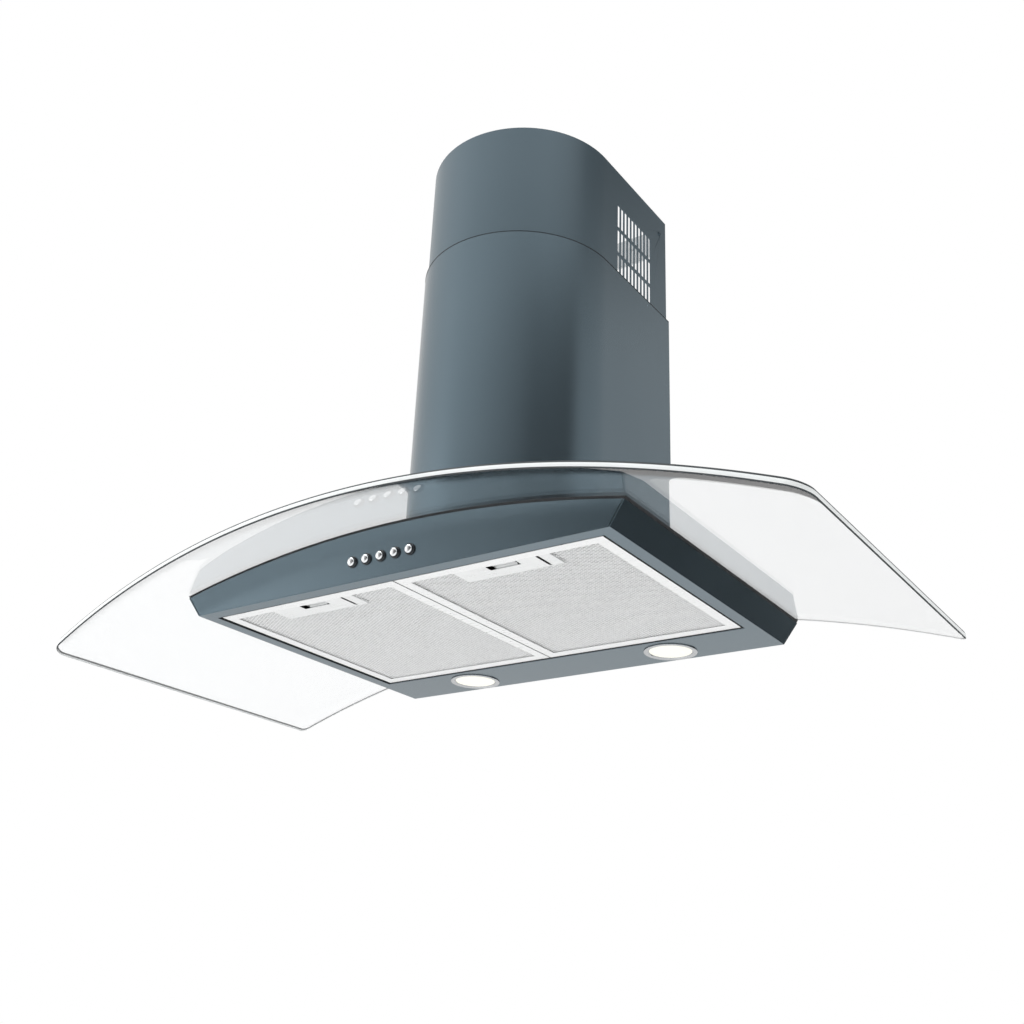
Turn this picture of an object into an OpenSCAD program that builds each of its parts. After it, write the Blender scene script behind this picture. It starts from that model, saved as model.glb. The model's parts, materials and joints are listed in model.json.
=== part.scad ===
// Wall-mounted range hood with a curved glass canopy, a flat steel body and a telescopic chimney.
// The wall is the plane y = 0 and the front of the hood faces -Y. Heights inside the modules are
// counted from the underside of the body; at_wall() then moves the origin to the hanging holes.

/* [Glass] */
// Width from tip to tip
glass_w = 900; // [740:5:1080]
// Depth from the wall to the middle of the front edge
glass_d = 456; // [400:2:550]
// How far the front edge bows out
glass_bow = 40; // [20:1:60]
// Thickness
glass_t = 7; // [5:0.5:10]
// How far the tips hang below the crown
glass_drop = 77; // [62:1:92]
// Height of the glass above the underside of the body, at the crown
glass_z = 52.6; // [46:0.2:64]
// Radius of the two front corners
glass_front_r = 22; // [10:1:60]
// Radius of the two rear corners
glass_rear_r = 8; // [3:1:20]

/* [Body] */
// Width of the underside
canopy_w = 512; // [430:2:620]
// Depth of the underside
canopy_d = 375.5; // [312:0.5:451]
// Lean of the two side panels, in degrees
side_lean = 36.8; // [20:0.2:45]
// Lean of the fascia, in degrees
front_lean = 7.9; // [2:0.1:12]
// Thickness of the body's sheet steel
sheet = 1; // [0.8:0.1:1.5]
// Thickness of the fascia
fascia_t = 1.2; // [1:0.1:2]
// Thickness of the rubber seal between body and glass
seal_t = 3; // [2:0.5:4]
// Width of the seal
seal_w = 10; // [8:1:16]
// Width of the underside frame beside the filters
rim_side = 14; // [10:1:30]
// Width of the underside frame in front of the filters
rim_front = 14.5; // [12:0.5:30]
// Width of the underside frame behind the filters
rim_rear = 69; // [66:1:90]

/* [Filters] */
// Thickness of a filter cassette
filter_t = 9; // [8:0.5:11]
// Width of the bright rim round a filter
filter_rim = 12; // [10:0.5:15]
// Gap between a filter and the opening
filter_gap = 3.5; // [2:0.1:4.5]
// Gap between the two filters
filter_mid_gap = 1.5; // [1:0.1:3]
// Finger slot across
slot_w = 35; // [28:1:45]
// Finger slot, front to back
slot_d = 10; // [8:0.5:12]
// Travel of the latch
latch_travel = 5; // [4:0.5:6]

/* [Lamps and buttons] */
// Diameter of a lamp's bezel
lamp_d = 60; // [50:1:60]
// Diameter of a lamp's lens
lens_d = 48; // [40:1:50]
// Distance of each lamp from the middle
lamp_x = 135; // [100:1:170]
// Distance of the lamps from the wall
lamp_y = 33; // [31:1:36]
// Distance from one button to the next
button_pitch = 18.2; // [15:0.1:24]
// Diameter of a button
button_d = 8.6; // [7.4:0.1:11]
// Travel of a button
button_travel = 3; // [2:0.5:3.5]
// Height of the button row above the underside
button_z = 20.5; // [19:0.5:24]

/* [Chimney] */
// Width of the lower chimney
chimney_w = 242; // [200:1:292]
// Depth of the lower chimney
chimney_d = 280; // [232:1:337]
// Height of the lower chimney's top edge
chimney_split = 454; // [400:1:550]
// Height of the upper chimney's top edge at rest
chimney_top = 607; // [560:1:720]
// Length of the upper chimney
upper_h = 394; // [330:1:470]
// How far the upper chimney lies inside the lower one
upper_inset = 3; // [2.5:0.1:4]
// Width of one air slot
vent_w = 5; // [4:0.1:6]
// Height of one air slot
vent_h = 32; // [20:1:36]
// Distance from one air slot to the next
vent_pitch = 8.7; // [8:0.1:9.6]

/* [Blower] */
// Height of the blower's steel casing
casing_h = 250; // [235:1:290]
// Diameter of the duct collar
collar_d = 149; // [119:1:151]
// Height of the duct collar above its flange
collar_h = 52; // [46:1:65]
// Impeller blades
blade_count = 32; // [24:1:40]

/* [Hidden] */

STEEL = "slategray";
DARK = "#20262b";
BRIGHT = "#e3e6e6";
CHROME = "#d9dde0";
ZINC = "#b9bec1";
RUBBER = "#1c1e20";
WHITE = "#e8e8e2";

eps = 0.01;
fine = 96;
arc_fn = 360;

// The arch: the glass's underside is a cylinder along Y.
arch_r = (pow(glass_w / 2, 2) + pow(glass_drop, 2)) / (2 * glass_drop);
function arch_z(x, lift = 0) = glass_z - arch_r + sqrt(pow(arch_r + lift, 2) - x * x);
bow_r = (pow(glass_w / 2, 2) + pow(glass_bow, 2)) / (2 * glass_bow);

// The body
side_slope = tan(side_lean);
front_slope = tan(front_lean);
roof_z = glass_z + glass_t;
function half_w(z) = canopy_w / 2 + side_slope * z;
function front_y(z) = -(canopy_d + front_slope * z);
joint_gap = 0.8;
fascia_gap = 0.1;
opening_half = canopy_w / 2 - rim_side;
opening_front = -(canopy_d - rim_front);
opening_rear = -rim_rear;
lip_h = 10;
front_lip_h = 18;

// The filters' rear edge hooks over a rolled bead, which is the hinge.
bead_r = 1.5;
bead_z = bead_r + 0.1;
bead_y = opening_rear;
hook_clear = 0.1;
hook_t = 1;
hook_len = 16;
hook_at = 70;
filter_z = 1;
filter_sheet = 0.8;
mesh_t = 1.2;
filter_w = opening_half - filter_gap - filter_mid_gap / 2;
filter_x = (filter_w + filter_mid_gap) / 2;
filter_front = opening_front + filter_gap;
filter_rear = bead_y - bead_r - hook_clear - hook_t - 0.4;
handle_w = 110;
handle_d = 27;
handle_front = filter_front + filter_rim;
handle_top = filter_z + filter_t - filter_sheet - 0.3;
slot_front = handle_front + 0.6;
slit_x = 41;
slit_w = 3;
latch_w = 26;
latch_t = 1.5;
latch_z = 3.4;
latch_nose = 3.5;
latch_rear = slot_front + slot_d + 3;
latch_play = 0.3;
spring_seat_t = 1.5;
spring_wire = 0.35;

// The buttons stand square to the fascia.
button_xs = [for (i = [-2 : 2]) i * button_pitch];
bezel_d = button_d + 3.2;
bezel_barrel = button_d + 1.6;
bezel_proud = 1.4;
button_play = 0.2;
button_proud = 4.4;
button_root = 3.6;
stem_r = 2;
stem_play = 0.06;
switch_z0 = 11;
switch_z1 = 25;
switch_half = 2 * button_pitch + 12;
stem_end = switch_z1 - 1;

// The lamps
lamp_can_r = lens_d / 2 + 2;
lamp_can_h = 20;
lamp_proud = 1.2;

// The chimney: a half round front on two flat sides, open towards the wall.
chimney_sheet = 1;
return_w = 9;
upper_w = chimney_w - 2 * upper_inset;
upper_back = 1.5;
upper_d = chimney_d - upper_inset;
upper_bottom = chimney_top - upper_h;
seat_gap = 0.3;
vent_cols = 10;
vent_rows = 3;
vent_gap = 5;
vent_top = chimney_top - 51;
vent_rear = 44;
bracket_h = 40;
bracket_drop = 6;
bracket_t = 1.5;

// The blower's casing fits inside the upper chimney when that slides down round it.
casing_gap = 11;
corner_gap = 4;
casing_half = upper_w / 2 - chimney_sheet - casing_gap;
upper_r = upper_w / 2 - chimney_sheet;
casing_rear = 4;
casing_front = upper_d - upper_w / 2 + sqrt(pow(upper_r, 2) - pow(casing_half + corner_gap, 2));
casing_y = -(casing_rear + casing_front) / 2;
casing_depth = casing_front - casing_rear;
casing_z = glass_z + glass_t + 1.5;
casing_top = casing_z + casing_h;
casing_flange = 20;
intake_r = casing_depth / 2 - casing_flange - 2;
bolt_in = 9;
bolt_x = casing_half - bolt_in;
bolt_y = casing_depth / 2 - bolt_in;
bolt_r = 3;
bolt_play = 0.3;
sleeve_r = 5;
hang_above = 24;
hang_z = casing_top + hang_above;
hang_x = 80;
hang_hole_r = 4.25;
hanger_t = 3;
safety_x = 205;
safety_z = 18;
safety_r = 2.75;

// The fan
fan_wall = 2;
fan_y = casing_y;
fan_z = casing_z + 108;
scroll_r1 = casing_depth / 2 - 2 * sheet - 1;
scroll_growth = 24;
scroll_r0 = scroll_r1 - scroll_growth;
impeller_r = scroll_r0 - fan_wall - 3;
blade_depth = 13;
inlet_space = 47;
scroll_half = casing_half - sheet - inlet_space;
impeller_half = scroll_half - fan_wall - 4;
inlet_r = impeller_r - blade_depth + 2;
motor_air = 9;
motor_r = impeller_r - blade_depth - motor_air;
motor_x0 = 14;
motor_len = 58;
shaft_r = 4;
hub_r = 10;
arm_r = inlet_r + 12;
arm_x = motor_x0 + motor_len - 6;
throat_y1 = -(casing_front - 2 * sheet - 1);
throat_y2 = fan_y + 14;
scroll_top = casing_top - sheet - 0.5;

// The duct collar and its two flaps
collar_r = collar_d / 2;
collar_t = 1.5;
collar_y = casing_y;
collar_z = casing_top;
flap_z = collar_z + 14;
flap_pin_r = 1.5;
flap_pin_play = 0.06;
flap_offset = 4;
flap_t = 1;
flap_r = collar_r - collar_t - 1.2;
flap_ear = 7;

// ---- shared shapes ----

module at_wall() {
    translate([0, 0, -hang_z]) children();
}

// Solid cylinder along Y whose surface lies lift above the glass's underside.
module arch(lift) {
    translate([0, 20, glass_z - arch_r])
        rotate([90, 0, 0])
            cylinder(r = arch_r + lift, h = glass_d + 40, $fn = arc_fn);
}

// The body's outer form, set in from its sides, front and rear, from height z0 up to the arch.
module body_form(side_in, front_in, rear_in, z0, lift) {
    side_off = side_in * sqrt(1 + side_slope * side_slope);
    front_off = front_in * sqrt(1 + front_slope * front_slope);
    low = half_w(z0) - side_off;
    high = half_w(roof_z) - side_off;
    intersection() {
        translate([0, 10, 0])
            rotate([90, 0, 0])
                linear_extrude(canopy_d + 40)
                    polygon([[-low, z0], [low, z0], [high, roof_z], [-high, roof_z]]);
        translate([-canopy_w, 0, 0])
            rotate([90, 0, 90])
                linear_extrude(2 * canopy_w)
                    polygon([
                        [-rear_in, z0],
                        [front_y(z0) + front_off, z0],
                        [front_y(roof_z) + front_off, roof_z],
                        [-rear_in, roof_z],
                    ]);
        arch(lift);
    }
}

// Points of an arc round c, from angle a0 to a1.
function arc(c, r, a0, a1, n) =
    [for (i = [0 : n]) let (a = a0 + (a1 - a0) * i / n) c + r * [cos(a), sin(a)]];

// Plan of the glass: straight sides and rear, a bowed front and four round corners.
bow_y = bow_r - glass_d;
corner_x = glass_w / 2 - glass_front_r;
corner_y = bow_y - sqrt(pow(bow_r - glass_front_r, 2) - pow(corner_x, 2));
bow_a = atan2(corner_y - bow_y, corner_x);
rear_x = glass_w / 2 - glass_rear_r;
glass_plan = concat(
    arc([0, bow_y], bow_r, -180 - bow_a, bow_a, 60),
    arc([corner_x, corner_y], glass_front_r, bow_a, 0, 12),
    arc([rear_x, -glass_rear_r], glass_rear_r, 0, 90, 6),
    arc([-rear_x, -glass_rear_r], glass_rear_r, 90, 180, 6),
    arc([-corner_x, corner_y], glass_front_r, 180, 180 - bow_a, 12)
);

// A wall of sheet t that follows the chimney's plan, open at the back, from z0 to z1.
module chimney_wall(w, d, back, t, z0, z1) {
    r = w / 2;
    mid = -(d - r);
    intersection() {
        translate([0, mid, z0]) difference() {
            cylinder(r = r, h = z1 - z0, $fn = fine);
            translate([0, 0, -1]) cylinder(r = r - t, h = z1 - z0 + 2, $fn = fine);
        }
        translate([-w, mid - w, z0 - 1]) cube([2 * w, w, z1 - z0 + 2]);
    }
    for (s = [-1, 1])
        translate([s > 0 ? r - t : -r, mid, z0]) cube([t, -mid - back, z1 - z0]);
    for (s = [-1, 1])
        translate([s > 0 ? r - return_w : -r, -back - t, z0]) cube([return_w, t, z1 - z0]);
}

// A screw along +Z with its head's underside at 0 and its shank below.
module screw(r, shank, head_r, head_h) {
    translate([0, 0, -shank]) cylinder(r = r, h = shank + eps, $fn = 32);
    difference() {
        cylinder(r = head_r, h = head_h, $fn = 48);
        translate([-0.5, -head_r * 0.65, head_h - 0.8]) cube([1, head_r * 1.3, 1]);
        translate([-head_r * 0.65, -0.5, head_h - 0.8]) cube([head_r * 1.3, 1, 1]);
    }
}

// A coil spring along +Z.
function ring_points(c, t, n, wire, sides) =
    [for (k = [0 : sides - 1]) c + wire * (cos(360 * k / sides) * n
        + sin(360 * k / sides) * cross(t, n))];
module coil(r, wire, len, turns) {
    sides = 6;
    steps = turns * 14;
    rise = (len - 2 * wire) / (360 * turns);
    function at(i) = let (a = 360 * turns * i / steps)
        ring_points(
            [r * cos(a), r * sin(a), wire + rise * a],
            let (v = [-sin(a), cos(a), rise * 180 / PI / r]) v / norm(v),
            [cos(a), sin(a), 0], wire, sides);
    points = [for (i = [0 : steps]) each at(i)];
    walls = [for (i = [0 : steps - 1], k = [0 : sides - 1])
        let (a = i * sides + k, b = i * sides + (k + 1) % sides)
        each [[a, a + sides, b + sides], [a, b + sides, b]]];
    caps = [[for (k = [0 : sides - 1]) k], [for (k = [sides - 1 : -1 : 0]) steps * sides + k]];
    polyhedron(points, concat(walls, caps), convexity = 4);
}

// Moves to button i: the origin is on the fascia's face, +Z is the way the button goes in.
module at_button(x) {
    translate([x, front_y(button_z), button_z]) rotate([front_lean - 90, 0, 0]) children();
}

module lamps() {
    for (s = [-1, 1]) translate([s * lamp_x, -lamp_y, 0]) children();
}

module glass_bolt_places() {
    for (x = [-bolt_x, bolt_x], y = [-bolt_y, bolt_y]) translate([x, casing_y + y, 0]) children();
}

// ---- body ----

module canopy_shell() at_wall() color(STEEL) {
    difference() {
        body_form(0, 0, 0, 0, -seal_t);
        body_form(sheet, -5, sheet, sheet, 5);
        translate([-opening_half, opening_front, -1])
            cube([2 * opening_half, opening_rear - opening_front, 2 + sheet]);
        lamps() translate([0, 0, -1]) cylinder(r = lamp_can_r + 0.2, h = 2 + sheet, $fn = fine);
        for (s = [-1, 1])
            translate([s * safety_x, 1, safety_z])
                rotate([90, 0, 0]) cylinder(r = safety_r, h = 3 + sheet, $fn = 48);
    }
    for (s = [-1, 1])
        translate([s > 0 ? opening_half : -opening_half - sheet, opening_front, sheet - eps])
            cube([sheet, opening_rear - opening_front, lip_h]);
    difference() {
        translate([-opening_half - sheet, opening_front - sheet, sheet - eps])
            cube([2 * (opening_half + sheet), sheet, front_lip_h]);
        fascia_screw_places() cylinder(r = 2.2, h = 20, center = true, $fn = 32);
        latch_windows();
        switch_notch();
    }
    translate([-opening_half - sheet / 2, bead_y, bead_z])
        rotate([0, 90, 0]) cylinder(r = bead_r, h = 2 * opening_half + sheet, $fn = 48);
}

// Windows in the front lip and the fascia's flange, which the latches enter.
module latch_windows() {
    for (s = [-1, 1])
        translate([s * filter_x - latch_w / 2 - 1, opening_front - 8, latch_z - 0.8])
            cube([latch_w + 2, 9, latch_t + 1.6]);
}

// Notch in the same two sheets, through which the switch block reaches back.
module switch_notch() {
    half = switch_half + 6;
    translate([-half, opening_front - 8, 12]) cube([2 * half, 9, 20]);
}

flange_y = opening_front - sheet - 0.2;
fascia_screw_z = filter_z + filter_t + 5;
module fascia_screw_places() {
    for (x = [-0.42, -0.14, 0.14, 0.42])
        translate([x * canopy_w, opening_front, fascia_screw_z]) rotate([-90, 0, 0]) children();
}

module front_fascia() at_wall() color(STEEL) {
    side_in = sheet + joint_gap;
    difference() {
        intersection() {
            body_form(side_in, 0, 0, sheet + fascia_gap, -seal_t);
            translate([-canopy_w, front_y(roof_z) - 1, 0])
                cube([2 * canopy_w, flange_y - front_y(roof_z) + 1, roof_z]);
        }
        difference() {
            body_form(side_in + fascia_t, fascia_t, 0, sheet + fascia_gap + fascia_t, 5);
            translate([-canopy_w, flange_y - fascia_t, 0])
                cube([2 * canopy_w, fascia_t + 1, front_lip_h + sheet]);
        }
        for (x = button_xs)
            at_button(x) cylinder(r = bezel_barrel / 2 + 0.1, h = 12, center = true, $fn = 48);
        fascia_screw_places() cylinder(r = 2.2, h = 20, center = true, $fn = 32);
        latch_windows();
        switch_notch();
        difference() {
            body_form(sheet, fascia_t, 0, sheet, 5);
            arch(-seal_t - sheet);
        }
    }
}

module fascia_screws() at_wall() color(ZINC) {
    fascia_screw_places() screw(2, sheet + 0.2 + fascia_t + 3, 3.5, 2.2);
}

module top_plate() at_wall() color(ZINC) {
    difference() {
        body_form(sheet, fascia_t, sheet, sheet, -seal_t);
        arch(-seal_t - sheet);
        translate([0, casing_y, 0]) cylinder(r = intake_r, h = 100, $fn = fine);
        glass_bolt_places() cylinder(r = bolt_r + bolt_play, h = 100, $fn = 32);
    }
}

module glass_seal() at_wall() color(RUBBER) {
    difference() {
        body_form(0.6, 0.6, 0.6, sheet, 0);
        body_form(0.6 + seal_w, 0.6 + seal_w, 0.6 + seal_w, sheet / 2, 5);
        arch(-seal_t);
        glass_bolt_places() cylinder(r = sleeve_r + 0.2, h = 100, $fn = 48);
    }
}

module glass_canopy() at_wall() color("lightcyan", 0.35) {
    difference() {
        intersection() {
            translate([0, 0, glass_z - 2 * glass_drop])
                linear_extrude(2 * glass_drop + 2 * glass_t) polygon(glass_plan);
            arch(glass_t);
        }
        arch(0);
        translate([0, casing_y, 0]) cylinder(r = intake_r, h = 100, $fn = fine);
        glass_bolt_places() cylinder(r = sleeve_r + 0.2, h = 100, $fn = 48);
    }
}

// Rubber sleeves keep the bolts off the glass, with a washer above and below.
module glass_sleeves() at_wall() color(RUBBER) {
    glass_bolt_places() difference() {
        translate([0, 0, arch_z(bolt_x, -seal_t)]) cylinder(
            r = sleeve_r, h = casing_z - arch_z(bolt_x, -seal_t), $fn = 48);
        cylinder(r = bolt_r + 0.1, h = 100, $fn = 32);
        arch(-seal_t);
    }
}

module glass_bolts() at_wall() color(ZINC) {
    glass_bolt_places() {
        low = arch_z(bolt_x + 6, -seal_t - sheet) - 3;
        translate([0, 0, low]) rotate([180, 0, 0]) screw(bolt_r, casing_z + 9 - low, 5, 3.5);
        translate([0, 0, casing_z + sheet]) difference() {
            cylinder(r = 5.8, h = 5, $fn = 6);
            translate([0, 0, -1]) cylinder(r = bolt_r, h = 8, $fn = 32);
        }
    }
}

// Foam pad that fills the wedge between the flat casing and the arched glass.
module blower_gasket() at_wall() color(RUBBER) {
    a = asin(casing_half / (arch_r + glass_t));
    difference() {
        translate([0, -casing_rear, 0]) rotate([90, 0, 0]) linear_extrude(casing_depth)
            polygon(concat(
                [[casing_half, casing_z], [-casing_half, casing_z]],
                arc([0, glass_z - arch_r], arch_r + glass_t + eps, 90 + a, 90 - a, 24)
            ));
        translate([0, casing_y, 0]) cylinder(r = intake_r, h = 100, $fn = fine);
        glass_bolt_places() cylinder(r = sleeve_r + 0.2, h = 100, $fn = 48);
    }
}

// ---- blower ----

// A plate of the casing that lies between its walls, with its underside at z.
module casing_plate(z) {
    translate([-casing_half + sheet, -casing_front + sheet, z])
        cube([2 * (casing_half - sheet), casing_depth - 2 * sheet, sheet]);
}

module casing_floor() at_wall() color(ZINC) {
    difference() {
        casing_plate(casing_z);
        translate([0, casing_y, casing_z - 1]) cylinder(r = intake_r, h = 3, $fn = fine);
        glass_bolt_places() translate([0, 0, casing_z - 1])
            cylinder(r = bolt_r + bolt_play, h = 3, $fn = 32);
    }
}

module casing_lid() at_wall() color(ZINC) {
    difference() {
        casing_plate(casing_top - sheet);
        translate([0, collar_y, casing_top - 2])
            cylinder(r = collar_r - collar_t - 1, h = 4, $fn = fine);
        translate([gland_x, gland_y, casing_top - 2]) cylinder(r = gland_r + 0.2, h = 4, $fn = 48);
    }
}

// Front and sides, folded from one sheet.
module casing_wrap() at_wall() color(ZINC) {
    difference() {
        translate([-casing_half, -casing_front, casing_z])
            cube([2 * casing_half, casing_depth, casing_h]);
        translate([-casing_half + sheet, -casing_front + sheet, casing_z - 1])
            cube([2 * (casing_half - sheet), casing_depth, casing_h + 2]);
    }
}

module casing_back() at_wall() color(ZINC) {
    difference() {
        translate([-casing_half + sheet, -casing_rear - sheet, casing_z])
            cube([2 * (casing_half - sheet), sheet, casing_h]);
        hanger_screw_places() cylinder(r = 2.1, h = 8, center = true, $fn = 32);
    }
}

hanger_screw_z = [30, 200];
module hanger_screw_places() {
    for (x = [-hang_x, hang_x], z = hanger_screw_z)
        translate([x, -casing_rear - sheet, casing_z + z]) rotate([90, 0, 0]) children();
}

module wall_hanger() at_wall() color(ZINC) {
    half = casing_half - 4;
    difference() {
        union() {
            translate([-half, -hanger_t, casing_z + 10])
                cube([2 * half, hanger_t, hang_z + 16 - casing_z - 10]);
            hanger_screw_places() translate([0, 0, -sheet - casing_rear])
                cylinder(r = 6, h = casing_rear, $fn = 48);
        }
        for (s = [-1, 1]) translate([s * hang_x, 1, hang_z])
            rotate([90, 0, 0]) cylinder(r = hang_hole_r, h = hanger_t + 2, $fn = 48);
        hanger_screw_places() translate([0, 0, -sheet - 3])
            cylinder(r = 2, h = 8, $fn = 32);
        translate([-half + 30, -hanger_t - 1, casing_z + 60])
            cube([2 * half - 60, hanger_t + 2, casing_h - 110]);
    }
}

module hanger_screws() at_wall() color(ZINC) {
    hanger_screw_places() screw(2, sheet + 3, 3.8, 2.4);
}

// Outline of the scroll in the YZ plane, seen along +X: it widens from the throat's rear wall
// round to its front wall.
function scroll_plan(extra) =
    let (a0 = acos((throat_y2 - fan_y + extra) / (scroll_r0 + extra)))
    [for (i = [0 : 36]) let (a = a0 - (180 + a0) * i / 36,
        r = scroll_r0 + scroll_growth * i / 36 + extra)
        [fan_y + r * cos(a), fan_z + r * sin(a)]];
module scroll_form(extra, half) {
    outline = concat(scroll_plan(extra), [
        [throat_y1 - extra, fan_z + 10],
        [throat_y1 - extra, scroll_top],
        [throat_y2 + extra, scroll_top],
    ]);
    translate([-half, 0, 0]) rotate([90, 0, 90]) linear_extrude(2 * half) polygon(outline);
}

module scroll_half_part(side) {
    difference() {
        scroll_form(0, scroll_half);
        scroll_form(-fan_wall, scroll_half - fan_wall);
        translate([-scroll_half + fan_wall, throat_y1 + fan_wall, scroll_top - 10])
            cube([2 * (scroll_half - fan_wall), throat_y2 - throat_y1 - 2 * fan_wall, 20]);
        translate([-scroll_half - 1, fan_y, fan_z]) rotate([0, 90, 0])
            cylinder(r = inlet_r, h = 2 * scroll_half + 2, $fn = fine);
        translate([side > 0 ? -200 : 0, -400, 0]) cube([200, 400, 500]);
    }
    translate([side * (scroll_half + 3), fan_y, fan_z]) rotate([0, -side * 90, 0])
        rotate_extrude($fn = fine)
            polygon([[inlet_r, 0], [inlet_r + 5, 0], [inlet_r + 5, 4], [inlet_r, 7]]);
}

module scroll_left() at_wall() color("dimgray") scroll_half_part(-1);

module scroll_right() at_wall() color("dimgray") {
    scroll_half_part(1);
    motor_arm_places() translate([0, 0, scroll_half - eps]) difference() {
        cylinder(r = 6, h = arm_x - scroll_half - 3, $fn = 32);
        translate([0, 0, 2]) cylinder(r = 1.6, h = 40, $fn = 24);
    }
}

module motor_arm_places() {
    for (a = [90, 210, 330])
        translate([0, fan_y + arm_r * cos(a), fan_z + arm_r * sin(a)]) rotate([0, 90, 0]) children();
}

module fan_axis() {
    translate([0, fan_y, fan_z]) rotate([0, 90, 0]) children();
}

module motor() at_wall() color("#8c9094") {
    fan_axis() difference() {
        translate([0, 0, motor_x0]) cylinder(r = motor_r, h = motor_len, $fn = fine);
        translate([0, 0, motor_x0 - 1])
            cylinder(r = shaft_r + 0.05, h = motor_len - 8, $fn = 48);
        for (k = [0 : 11]) rotate([0, 0, k * 30])
            translate([motor_r - 2, -1.5, motor_x0 + 12]) cube([4, 3, motor_len - 30]);
    }
}

module motor_bracket() at_wall() color(ZINC) {
    fan_axis() difference() {
        translate([0, 0, arm_x]) union() {
            difference() {
                cylinder(r = motor_r + 2.5, h = 2, $fn = fine);
                translate([0, 0, -1]) cylinder(r = motor_r, h = 4, $fn = fine);
            }
            for (a = [0, 120, 240]) rotate([0, 0, a + 180])
                translate([motor_r + 1, -7, 0]) cube([arm_r - motor_r + 7, 14, 2]);
        }
        for (a = [0, 120, 240]) rotate([0, 0, a + 180])
            translate([arm_r, 0, arm_x - 1]) cylinder(r = 4.5, h = 4, $fn = 32);
    }
}

module motor_bushes() at_wall() color(RUBBER) {
    motor_arm_places() translate([0, 0, arm_x - 3]) difference() {
        union() {
            cylinder(r = 4.4, h = 8, $fn = 32);
            cylinder(r = 6.5, h = 2.9, $fn = 32);
            translate([0, 0, 5.1]) cylinder(r = 6.5, h = 2.9, $fn = 32);
        }
        translate([0, 0, -1]) cylinder(r = 2, h = 12, $fn = 32);
    }
}

module motor_screws() at_wall() color(ZINC) {
    motor_arm_places() translate([0, 0, arm_x + 5]) screw(1.5, 10, 4, 2.4);
}

module motor_shaft() at_wall() color(CHROME) {
    fan_axis() translate([0, 0, -12]) cylinder(r = shaft_r, h = motor_x0 + 12 + motor_len - 12, $fn = 48);
}

module impeller() at_wall() color("dimgray") {
    ring_in = impeller_r - blade_depth;
    fan_axis() {
        difference() {
            union() {
                translate([0, 0, -1.5]) cylinder(r = impeller_r - 0.5, h = 3, $fn = fine);
                translate([0, 0, -8]) cylinder(r = hub_r, h = 18, $fn = 48);
            }
            translate([0, 0, -20]) cylinder(r = shaft_r, h = 40, $fn = 48);
        }
        for (s = [-1, 1])
            translate([0, 0, s > 0 ? impeller_half - 2 : -impeller_half]) difference() {
                cylinder(r = impeller_r, h = 2, $fn = fine);
                translate([0, 0, -1]) cylinder(r = ring_in + 6, h = 4, $fn = fine);
            }
        for (k = [0 : blade_count - 1]) rotate([0, 0, k * 360 / blade_count])
            translate([0, 0, -impeller_half]) linear_extrude(2 * impeller_half)
                polygon([
                    [ring_in, 0], [ring_in + 4, 2.2], [impeller_r - 4, 3], [impeller_r - 1, 2.6],
                    [impeller_r - 1, 3.8], [impeller_r - 4, 4.2], [ring_in + 4, 3.4], [ring_in, 1.2],
                ]);
    }
}

module outlet_collar() at_wall() color("dimgray") {
    difference() {
        union() {
            translate([0, collar_y, collar_z]) cylinder(r = collar_r, h = collar_h + 2, $fn = fine);
            translate([0, collar_y, collar_z]) cylinder(r = collar_r + 8, h = 2, $fn = fine);
        }
        translate([0, collar_y, flap_z]) cylinder(r = collar_r - collar_t, h = 100, $fn = fine);
        translate([0, collar_y, collar_z - 1]) cylinder(r = collar_r - collar_t - 3, h = 100, $fn = fine);
    }
    for (s = [-1, 1]) difference() {
        translate([s > 0 ? flap_r - flap_ear : -collar_r + 0.8, collar_y - flap_offset - 3, flap_z - 1])
            cube([collar_r - 0.8 - flap_r + flap_ear, 2 * flap_offset + 6, 7]);
        for (y = [-flap_offset, flap_offset])
            translate([s > 0 ? flap_r - flap_ear - 1 : -flap_r - 0.4, collar_y + y, flap_z + 3])
                rotate([0, 90, 0])
                    cylinder(r = flap_pin_r + flap_pin_play, h = flap_ear + 1.4, $fn = 32);
    }
}

// A half disc that lies on the collar's ledge and lifts with the air.
module flap(side) {
    reach = flap_r - flap_ear - 0.6;
    difference() {
        translate([0, collar_y, flap_z + 0.3]) cylinder(r = flap_r, h = flap_t, $fn = fine);
        translate([-100, side > 0 ? collar_y - 100 : collar_y - flap_offset + 1, flap_z - 1])
            cube([200, 99 + (side > 0 ? flap_offset : 0), 5]);
        for (s = [-1, 1])
            translate([s > 0 ? reach : -reach - 20, collar_y - flap_offset - 4.4, flap_z - 1])
                cube([20, 2 * flap_offset + 8.8, 5]);
    }
    translate([-flap_r, collar_y + side * flap_offset, flap_z + 3])
        rotate([0, 90, 0]) cylinder(r = flap_pin_r, h = 2 * flap_r, $fn = 32);
    for (x = [-0.6 * flap_r, 0, 0.6 * flap_r])
        translate([x - 5, collar_y + side * flap_offset - 1.2, flap_z + 0.6]) cube([10, 2.4, 2.4]);
}

module flap_front() at_wall() color("gainsboro") flap(-1);
module flap_rear() at_wall() color("gainsboro") flap(1);

module capacitor() at_wall() color(WHITE) {
    translate([casing_half - 22, fan_y - 40, fan_z + 75]) {
        cylinder(r = 14, h = 48, $fn = 48);
        translate([0, 0, 48 - eps]) cylinder(r = 4, h = 6, $fn = 32);
    }
    translate([casing_half - 22, fan_y - 44, fan_z + 90]) cube([22 - sheet, 8, 14]);
}

module terminal_box() at_wall() color("#3a3f43") {
    x0 = -casing_half + sheet;
    translate([x0, fan_y - 30, fan_z + 80]) difference() {
        cube([38, 80, 42]);
        translate([2, 2, 2]) cube([34, 76, 38]);
        translate([34, 20, 12]) cube([6, 12, 8]);
    }
}

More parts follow.
